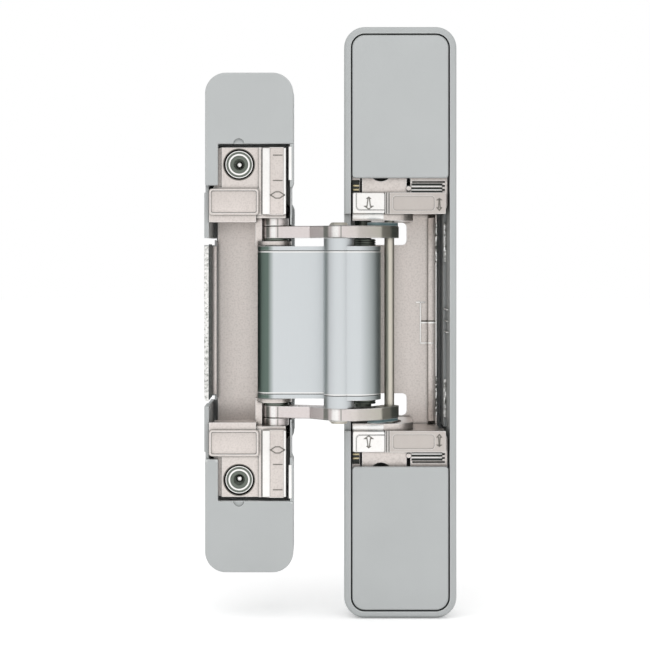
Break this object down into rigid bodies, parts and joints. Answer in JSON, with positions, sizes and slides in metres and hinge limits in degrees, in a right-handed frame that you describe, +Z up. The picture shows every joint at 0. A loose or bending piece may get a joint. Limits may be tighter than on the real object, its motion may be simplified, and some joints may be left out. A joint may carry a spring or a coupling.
{
  "type": "concealed door hinge",
  "caption": "Concealed door hinge: mortised door and frame leaves joined by a link block and crossed steel arms, with clip-on covers and adjusting screws.",
  "frame": {"origin": "centre of the frame leaf's screw holes, on the back of its shallow end sections", "axes": "+Z up along both leaves, +X along the leaf faces from the door leaf to the frame leaf, +Y into the mortises"},
  "size_m": [0.0607, 0.0329, 0.142],
  "materials": {
    "case_grey": "satin",
    "cover_grey": "satin",
    "nickel_cast": "cast nickel plate",
    "nickel_bright": "bright nickel plate",
    "block_aluminium": "satin extruded",
    "arm_steel": "stamped zinc plate",
    "pin_steel": "bright",
    "shoe_plastic": "matt",
    "screw_steel": "zinc plate"
  },
  "bodies": {
    "frame_leaf": {"frame_case": "case_grey", "frame_cover_top": "cover_grey", "frame_cover_bottom": "cover_grey", "clamp_screw_top": "screw_steel", "clamp_screw_bottom": "screw_steel"},
    "frame_carrier": {"frame_carrier": "nickel_cast", "frame_bar_top": "nickel_cast", "frame_bar_bottom": "nickel_cast", "frame_pivot_pin": "pin_steel", "frame_spacer_top": "arm_steel", "frame_spacer_bottom": "arm_steel"},
    "release_top": {"release_slider_top": "nickel_bright"},
    "release_bottom": {"release_slider_bottom": "nickel_bright"},
    "link": {"link_block": "block_aluminium", "block_cap_top": "block_aluminium", "block_cap_bottom": "block_aluminium", "centre_rivet_top": "pin_steel", "centre_rivet_bottom": "pin_steel", "short_guide_pin": "pin_steel"},
    "arms": {"steel_arm_top": "arm_steel", "steel_arm_bottom": "arm_steel", "long_guide_pin": "pin_steel", "guide_shoe_top": "shoe_plastic", "guide_shoe_bottom": "shoe_plastic"},
    "door_carrier": {"door_carrier": "nickel_cast", "door_pivot_pin_top": "pin_steel", "door_pivot_pin_bottom": "pin_steel", "door_bush_top": "arm_steel", "door_bush_bottom": "arm_steel"},
    "adjust_top": {"adjust_screw_top": "screw_steel"},
    "adjust_bottom": {"adjust_screw_bottom": "screw_steel"},
    "door_leaf": {"door_case": "case_grey", "door_cover_top": "cover_grey", "door_cover_bottom": "cover_grey"}
  },
  "joints": [
    {"name": "height_slide", "type": "slide", "parent": "frame_leaf", "child": "frame_carrier", "axis": [0, 0, 1], "range_m": [-0.0025, 0.0025]},
    {"name": "link_swing", "type": "hinge", "parent": "frame_carrier", "child": "link", "pos_m": [-0.0088, -0.004, 0], "axis": [0, 0, 1], "range_deg": [0, 89.35]},
    {"name": "arm_swing", "type": "hinge", "parent": "link", "child": "arms", "pos_m": [-0.0148, -0.0158, 0], "axis": [0, 0, 1], "range_deg": [-7.84, 0]},
    {"name": "door_swing", "type": "hinge", "parent": "arms", "child": "door_carrier", "pos_m": [-0.0299, -0.0072, 0], "axis": [0, 0, 1], "range_deg": [0, 98.48]},
    {"name": "lateral_slide", "type": "slide", "parent": "door_carrier", "child": "door_leaf", "axis": [1, 0, 0], "range_m": [-0.0009, 0.0009]},
    {"name": "adjust_top_turn", "type": "hinge", "parent": "door_carrier", "child": "adjust_top", "pos_m": [-0.0388, -0.008, 0.038], "axis": [0, 1, 0], "range_deg": [-60, 60]},
    {"name": "adjust_bottom_turn", "type": "hinge", "parent": "door_carrier", "child": "adjust_bottom", "pos_m": [-0.0388, -0.008, -0.038], "axis": [0, 1, 0], "range_deg": [-60, 60]},
    {"name": "release_top_slide", "type": "slide", "parent": "frame_carrier", "child": "release_top", "axis": [0, 0, -1], "range_m": [0, 0.0018]},
    {"name": "release_bottom_slide", "type": "slide", "parent": "frame_carrier", "child": "release_bottom", "axis": [0, 0, 1], "range_m": [0, 0.0018]}
  ],
  "couplings": [
    {"joint": "arm_swing", "follows": "link_swing", "ratio": -0.087635},
    {"joint": "door_swing", "follows": "link_swing", "ratio": 1.1021},
    {"joint": "adjust_top_turn", "follows": "lateral_slide", "rad_per_m": 1163.5},
    {"joint": "adjust_bottom_turn", "follows": "lateral_slide", "rad_per_m": -1163.5}
  ]
}
